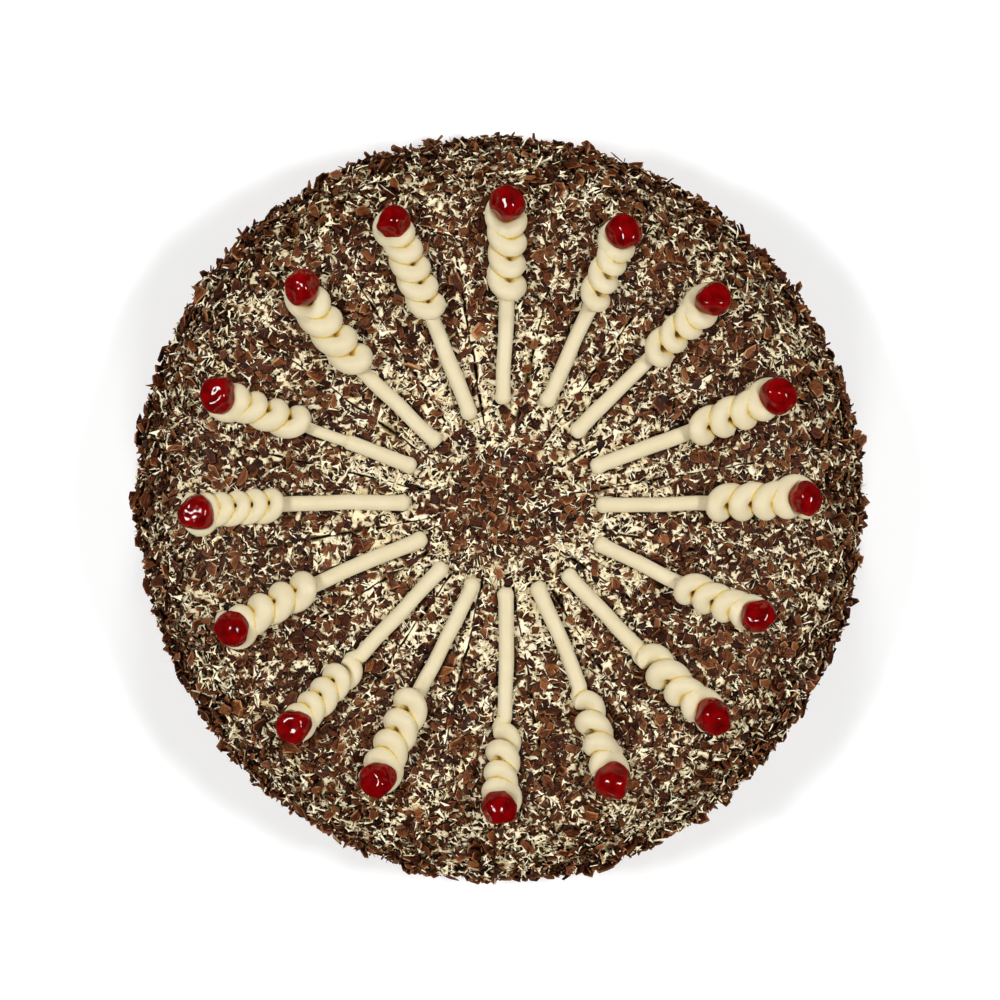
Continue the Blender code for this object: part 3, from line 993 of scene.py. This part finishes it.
def lay_out(name, order, routes, dice):
    """How each piece of one kind lies: middle, half length and width, thickness, directions, and tone,
    partly painted light by height.
    """
    count, _, lengths, widths, thickness = LOOSE_KINDS[name]
    is_thread = name in THREAD_KINDS
    layers = THREAD_LAYERS if is_thread else FLAKE_LAYERS
    plain, normals, along = scatter_places(order, layers, dice)
    keep = dice.random(len(plain)) < patchiness(plain, is_thread)
    keep &= off_the_cuts(plain, is_thread, dice)
    keep &= off_the_pipings(fit_to_cake(plain), routes)
    plain, normals, along = plain[keep][:count], normals[keep][:count], along[keep][:count]
    count = len(plain)
    on_wall = share_between(along, *WALL_STARTS)
    tilts = np.radians(TOP_TILT + (WALL_TILT - TOP_TILT) * on_wall) * dice.uniform(*TILT_SHARE, count)
    directions = frames_of(normals, dice, tilts)
    length = dice.uniform(*lengths, count) * MM / 2
    width = length * dice.uniform(*widths, count)
    thick = thickness * MM * dice.uniform(*THICKNESS_SPREAD, count)
    height = dice.uniform(LEAST_HEIGHT[is_thread], 1, count)
    lift = (FLAKE_SINK + height * (FLAKE_RISE - FLAKE_SINK)) * MM
    lift += height * on_wall * WALL_FLAKE_RISE * length
    centres = fit_to_cake(plain) + normals * lift[:, None]
    # The tone is partly each flake's own random brown and partly painted light: higher flakes paler, lower
    # ones darker as painted shade.
    tone = height * PAINTED_LIGHT_BY_HEIGHT + dice.random(count) * (1 - PAINTED_LIGHT_BY_HEIGHT)
    return centres, (length, width, thick), directions, tone


def flake_plans(pattern, face, count, dice):
    """What a face shows of its flake's plan: a lid shows the plan, a side one place at a random reach,
    mostly near the middle and painted dark as painted shade, a few near the edge and painted pale as a
    painted highlight.
    """
    if np.ptp(pattern[face, 2]) < 0.5:
        return np.tile(pattern[face, :2], (count, 1))
    painted_side_light = dice.random(count) ** 2
    return np.repeat(painted_side_light[:, None] * (1, 0), len(face), axis=0)


def build_flake_kind(name, order, routes, material):
    """Presses one kind of flake or thread into the coat all over the cake, joined to one piece."""
    corners = LOOSE_KINDS[name][1]
    is_thread = name in THREAD_KINDS
    dice = np.random.default_rng(SEED + order)
    maker = random.Random(SEED + order)
    centres, sizes, directions, tone = lay_out(name, order, routes, dice)
    all_points, all_tones, groups, plans = [], [], [], []
    offset = 0
    chosen = dice.integers(0, PATTERNS_PER_KIND, len(centres))
    for kind in range(PATTERNS_PER_KIND):
        slab = model_flake_pattern(maker, corners, is_thread and corners == FORKED_CORNERS)
        pattern = points_of(slab.data)
        faces = [np.array(face.vertices) for face in slab.data.polygons]
        bpy.data.objects.remove(slab)
        mine = np.nonzero(chosen == kind)[0]
        points = np.repeat(centres[mine, None], len(pattern), axis=1)
        outline = broken_outline(pattern, corners, len(mine), is_thread, dice)
        for shares, size, direction in zip(outline, sizes, directions):
            points += (shares * size[mine, None])[..., None] * direction[mine, None]
        points[..., 2] += np.maximum(0, -points[..., 2].min(axis=1))[:, None]
        starts = offset + np.arange(len(mine)) * len(pattern)
        for face in faces:
            groups.append(starts[:, None] + face[None])
            plans.append(flake_plans(pattern, face, len(mine), dice))
        all_points.append(points.reshape(-1, 3))
        all_tones.append(np.repeat(tone[mine], len(pattern)))
        offset += len(mine) * len(pattern)
    values = {"flake_tone_and_light": np.concatenate(all_tones), "flake_corners": np.full(offset, corners)}
    mesh = joined_mesh(name, np.concatenate(all_points), groups, plans, values)
    piece = bpy.data.objects.new(name, mesh)
    bpy.context.scene.collection.objects.link(piece)
    finish_piece(piece, material)


# Materials


def from_hex(code):
    """An sRGB hex value as linear red, green, blue and alpha."""
    values = [int(code[start:start + 2], 16) / 255 for start in (0, 2, 4)]
    linear = [v / 12.92 if v <= 0.04045 else ((v + 0.055) / 1.055) ** 2.4 for v in values]
    return (*linear, 1.0)


def connect(tree, node, inputs):
    """Sets a node's inputs to values, or links them to outputs or to other nodes' first outputs."""
    for socket, value in inputs.items():
        if isinstance(value, bpy.types.Node):
            value = value.outputs[0]
        if isinstance(value, bpy.types.NodeSocket):
            tree.links.new(value, node.inputs[socket])
        else:
            node.inputs[socket].default_value = value


def add_node(tree, kind, inputs=None, stops=(), **settings):
    """Adds a node with its settings and inputs, and for a ramp its places and hex colours."""
    node = tree.nodes.new("ShaderNode" + kind)
    for setting, value in settings.items():
        setattr(node, setting, value)
    for order, (place, code) in enumerate(stops):
        elements = node.color_ramp.elements
        element = elements[order] if order < len(elements) else elements.new(1.0)
        element.position = place
        element.color = from_hex(code)
    connect(tree, node, inputs or {})
    return node


def new_material(name):
    material = bpy.data.materials.new(name)
    material.use_nodes = True
    return material, material.node_tree, material.node_tree.nodes["Principled BSDF"]


def painted_gap_shade(tree, colour, reach, open_from, tints):
    """Paints shade into the colour: tints it by the ramp's colours where other surfaces crowd in closer
    than the reach.
    """
    nearby = add_node(tree, "AmbientOcclusion", {"Distance": reach}, samples=GAP_SAMPLES).outputs["AO"]
    limits = dict(zip(("From Min", "From Max"), open_from))
    openness = add_node(tree, "MapRange", {"Value": nearby, **limits})
    shade = add_node(tree, "ValToRGB", {"Fac": openness}, stops=[*tints, (1.0, "FFFFFF")])
    tinted = {"Factor": 1.0, 6: colour, 7: shade}
    return add_node(tree, "Mix", tinted, data_type="RGBA", blend_type="MULTIPLY").outputs[2]


def cream_coat_material():
    """Cream whipped and spread by hand, with chocolate crumbs finer than rice caught in it."""
    # It looks matt and nearly white, dimpled where flakes were pressed in and flecked with brown.
    # Deep between flakes it is painted a warm brown, as painted shade, since light only gets there off
    # chocolate.
    material, tree, shader = new_material("whipped_cream_coat_with_fine_chocolate")
    place = add_node(tree, "TexCoord").outputs["Object"]
    smear = add_node(tree, "TexNoise", {"Vector": place, "Scale": 1 / (6 * MM), "Detail": 2})
    cream = add_node(tree, "ValToRGB", {"Fac": smear}, stops=[(0.3, "F6E7BC"), (0.7, "FFF6DA")])
    crumbs = {"Vector": place, "Scale": 1 / (1.1 * MM)}
    chance = add_node(tree, "SeparateColor", {0: add_node(tree, "TexVoronoi", crumbs).outputs["Color"]})
    edge = add_node(tree, "TexVoronoi", crumbs, feature="DISTANCE_TO_EDGE")
    inside = add_node(tree, "Math", {0: edge, 1: 0.08}, operation="GREATER_THAN")
    present = add_node(tree, "Math", {0: chance, 1: 0.85}, operation="GREATER_THAN")
    is_crumb = add_node(tree, "Math", {0: inside, 1: present}, operation="MULTIPLY")
    tone = {"Fac": chance.outputs["Green"]}
    brown = add_node(tree, "ValToRGB", tone, stops=[(0.0, "3A2218"), (1.0, "7A4E34")])
    colour = add_node(tree, "Mix", {"Factor": is_crumb, 6: cream, 7: brown}, data_type="RGBA").outputs[2]
    dimples = add_node(tree, "TexNoise", {"Vector": place, "Scale": 1 / (1.6 * MM), "Detail": 4})
    height = add_node(tree, "Math", {0: is_crumb, 1: 0.5, 2: dimples}, operation="MULTIPLY_ADD")
    connect(tree, shader, {
        # Painted shade: warm brown where other surfaces crowd close, a warm pale cream half way.
        "Base Color": painted_gap_shade(tree, colour, 3 * MM, (0.0, 0.75), [(0.0, "4A2002"), (0.5, "F0E2C2")]),
        "Normal": add_node(tree, "Bump", {"Height": height, "Distance": 0.4 * MM, "Strength": 0.7}),
        "Roughness": 0.6,
        "IOR": 1.45,
        "Specular IOR Level": 0.2,
    })
    return material


def piped_cream_material():
    """Cream whipped stiff and pressed from a round nozzle."""
    # It looks ivory, smooth and silky, with no sharp gloss because light goes a little way in. Where
    # two beads touch and other surfaces crowd close, painted shade and a painted yellow glow stand for
    # light that went through cream.
    material, tree, shader = new_material("piped_dairy_cream")
    place = add_node(tree, "TexCoord").outputs["Object"]
    mottle = add_node(tree, "TexNoise", {"Vector": place, "Scale": 1 / (9 * MM), "Detail": 2})
    cream = add_node(tree, "ValToRGB", {"Fac": mottle}, stops=[(0.3, "D4C6A1"), (0.7, "DACDAB")])
    crease = {"Fac": add_node(tree, "Attribute", attribute_name="crease").outputs["Fac"]}
    # Painted shade and a painted yellow glow in the creases, deepest where beads meet.
    crease_shade_and_glow = [(0.15, "FFFFFF"), (0.5, "F8EA9A"), (1.0, "E6C548")]
    tinted = {"Factor": 1.0, 6: cream, 7: add_node(tree, "ValToRGB", crease, stops=crease_shade_and_glow)}
    colour = add_node(tree, "Mix", tinted, data_type="RGBA", blend_type="MULTIPLY").outputs[2]
    grain = add_node(tree, "TexNoise", {"Vector": place, "Scale": 1 / (1.2 * MM), "Detail": 3})
    connect(tree, shader, {
        # Painted shade, yellow, where other surfaces crowd close.
        "Base Color": painted_gap_shade(tree, colour, 2.5 * MM, (0.15, 0.65), [(0.0, "EDD866")]),
        "Normal": add_node(tree, "Bump", {"Height": grain, "Distance": 0.08 * MM, "Strength": 0.5}),
        "Roughness": 0.55,
        "IOR": 1.45,
        "Subsurface Weight": 0.1,
        "Subsurface Radius": (1.0, 0.9, 0.6),
        "Subsurface Scale": 0.5 * MM,
    })
    return material


def flake_edge(tree, plan):
    """Rises from 0 in the middle of a flake's plan to 1 all along its broken edge."""
    corners = add_node(tree, "Attribute", attribute_name="flake_corners").outputs["Fac"]
    sides = add_node(tree, "SeparateXYZ", {0: plan})
    turn = add_node(tree, "Math", {0: sides, 1: sides.outputs["Y"]}, operation="ARCTAN2")
    half = add_node(tree, "Math", {0: math.pi, 1: corners}, operation="DIVIDE")
    from_corner = add_node(tree, "Math", {0: turn, 1: half}, operation="PINGPONG")
    from_middle = add_node(tree, "Math", {0: half, 1: from_corner}, operation="SUBTRACT")
    inward = add_node(tree, "Math", {0: from_middle}, operation="COSINE")
    narrowest = add_node(tree, "Math", {0: half}, operation="COSINE")
    reach = add_node(tree, "VectorMath", {0: plan}, operation="LENGTH").outputs["Value"]
    across = add_node(tree, "Math", {0: reach, 1: inward}, operation="MULTIPLY")
    return add_node(tree, "Math", {0: across, 1: narrowest}, operation="DIVIDE")


def chocolate_material():
    """Dark chocolate shaved and broken from a cold block."""
    # It looks waxy and satin. The blade leaves paler streaks along each flake, the broken edge of each
    # lid has a painted highlight and most sides painted shade, and no two flakes are quite the same
    # brown, with higher ones painted paler as painted light.
    material, tree, shader = new_material("broken_dark_chocolate")
    place = add_node(tree, "TexCoord").outputs["Object"]
    # Each flake's tone, which holds its painted light by height.
    tone = add_node(tree, "Attribute", attribute_name="flake_tone_and_light").outputs["Fac"]
    fine = {"Vector": place, "Scale": 1 / (0.7 * MM), "Detail": 4, "Roughness": 0.7}
    grain = add_node(tree, "TexNoise", fine)
    plan = add_node(tree, "UVMap", uv_map="flake_plan")
    stretched = add_node(tree, "VectorMath", {0: plan, 1: STREAK_PLAN}, operation="MULTIPLY")
    shift = add_node(tree, "Math", {0: tone, 1: STREAK_SHIFT}, operation="MULTIPLY")
    cuts = {"Vector": stretched, "W": shift, "Scale": 1.0, "Detail": 2}
    streaks = add_node(tree, "TexNoise", cuts, noise_dimensions="4D")
    # Painted highlight: paler towards each lid's broken edge, and on the few sides given a far place.
    painted_edge_highlight = {"From Min": 0.72, "From Max": 1.0, "To Min": -0.04, "To Max": 0.3}
    mixed = add_node(tree, "MapRange", {"Value": flake_edge(tree, plan), **painted_edge_highlight})
    for pattern, share in ((tone, TONE_SHARE), (streaks, STREAK_SHARE), (grain, GRAIN_SHARE)):
        mixed = add_node(tree, "Math", {0: pattern, 1: share, 2: mixed}, operation="MULTIPLY_ADD")
    browns = [(0.38, "120200"), (0.6, "421B07"), (0.8, "804B27"), (1.0, "B9865C")]
    brown = add_node(tree, "ValToRGB", {"Fac": mixed}, stops=browns)
    connect(tree, shader, {
        # Painted shade: near black where other flakes crowd close.
        "Base Color": painted_gap_shade(tree, brown, 1.8 * MM, (0.65, 1.0), [(0.0, "0A0200")]),
        "Normal": add_node(tree, "Bump", {"Height": grain, "Distance": 0.15 * MM, "Strength": 0.5}),
        "Roughness": 0.5,
        "IOR": 1.45,
        "Specular IOR Level": 0.15,
    })
    return material


def cherry_material():
    """A cherry candied until its skin wrinkles, under a clear syrup glaze."""
    # It looks deep red and wet: light goes into the flesh, and the glaze gives small hard highlights.
    material, tree, shader = new_material("glazed_candied_cherry")
    place = add_node(tree, "TexCoord").outputs["Object"]
    flesh = add_node(tree, "TexNoise", {"Vector": place, "Scale": 1 / (4 * MM), "Detail": 3})
    wrinkle = add_node(tree, "TexNoise", {"Vector": place, "Scale": 1 / (3 * MM), "Detail": 1})
    connect(tree, shader, {
        "Base Color": add_node(tree, "ValToRGB", {"Fac": flesh}, stops=[(0.3, "560001"), (0.7, "880204")]),
        "Normal": add_node(tree, "Bump", {"Height": wrinkle, "Distance": 0.3 * MM, "Strength": 0.5}),
        "Roughness": 0.1,
        "IOR": 1.45,
        "Subsurface Weight": 0.3,
        "Subsurface Radius": (1.0, 0.12, 0.06),
        "Subsurface Scale": 3 * MM,
        "Specular IOR Level": 0.35,
        "Coat Weight": 0.25,
        "Coat Roughness": 0.04,
    })
    return material


# Floor, lights and camera


def build_stage():
    clear_selection()
    bpy.ops.mesh.primitive_plane_add(size=FLOOR_SIZE)
    floor = bpy.context.object
    floor.name = "floor"
    # Matt white paint that looks evenly pale, with only the cake's own soft shadow on it
    material, tree, shader = new_material("white_studio_floor")
    connect(tree, shader, {
        "Base Color": from_hex("FAFAFA"),
        "Roughness": 0.9,
        "Emission Color": (1, 1, 1, 1),
        "Emission Strength": FLOOR_GLOW,
    })
    floor.data.materials.append(material)
    floor.visible_glossy = False

    world = bpy.data.worlds.new("studio")
    bpy.context.scene.world = world
    world.use_nodes = True
    room = world.node_tree
    ray = add_node(room, "LightPath").outputs["Is Glossy Ray"]
    dimming = {0: ray, 1: AMBIENT_IN_GLOSS - AMBIENT, 2: AMBIENT}
    strength = add_node(room, "Math", dimming, operation="MULTIPLY_ADD")
    connect(room, room.nodes["Background"], {"Color": (1, 1, 1, 1), "Strength": strength})

    for turn, lean, power in LAMPS:
        bpy.ops.object.light_add(type="AREA")
        lamp = bpy.context.object
        lamp.data.energy = power
        lamp.data.size = LAMP_SIZE
        lamp.visible_glossy = power == MAIN_POWER
        way = Vector((*turned(math.sin(lean), 0, turn), math.cos(lean)))
        lamp.location = way * LAMP_DISTANCE
        lamp.rotation_euler = way.to_track_quat("Z", "Y").to_euler()

    bpy.ops.object.camera_add(location=CAMERA_PLACE, rotation=(0, 0, 0))
    camera = bpy.context.object
    camera.data.lens = CAMERA_LENS
    bpy.context.scene.camera = camera
    bpy.context.scene.view_settings.view_transform = "Standard"


def main():
    coat = cream_coat_material()
    chocolate = chocolate_material()
    build_slices(coat)
    build_pipings(piped_cream_material())
    build_cherries(cherry_material())
    routes = [bead_route(portion) for portion in range(PORTIONS)]
    for order, name in enumerate(LOOSE_KINDS):
        build_flake_kind(name, order, routes, coat if name in THREAD_KINDS else chocolate)
    build_stage()


main()
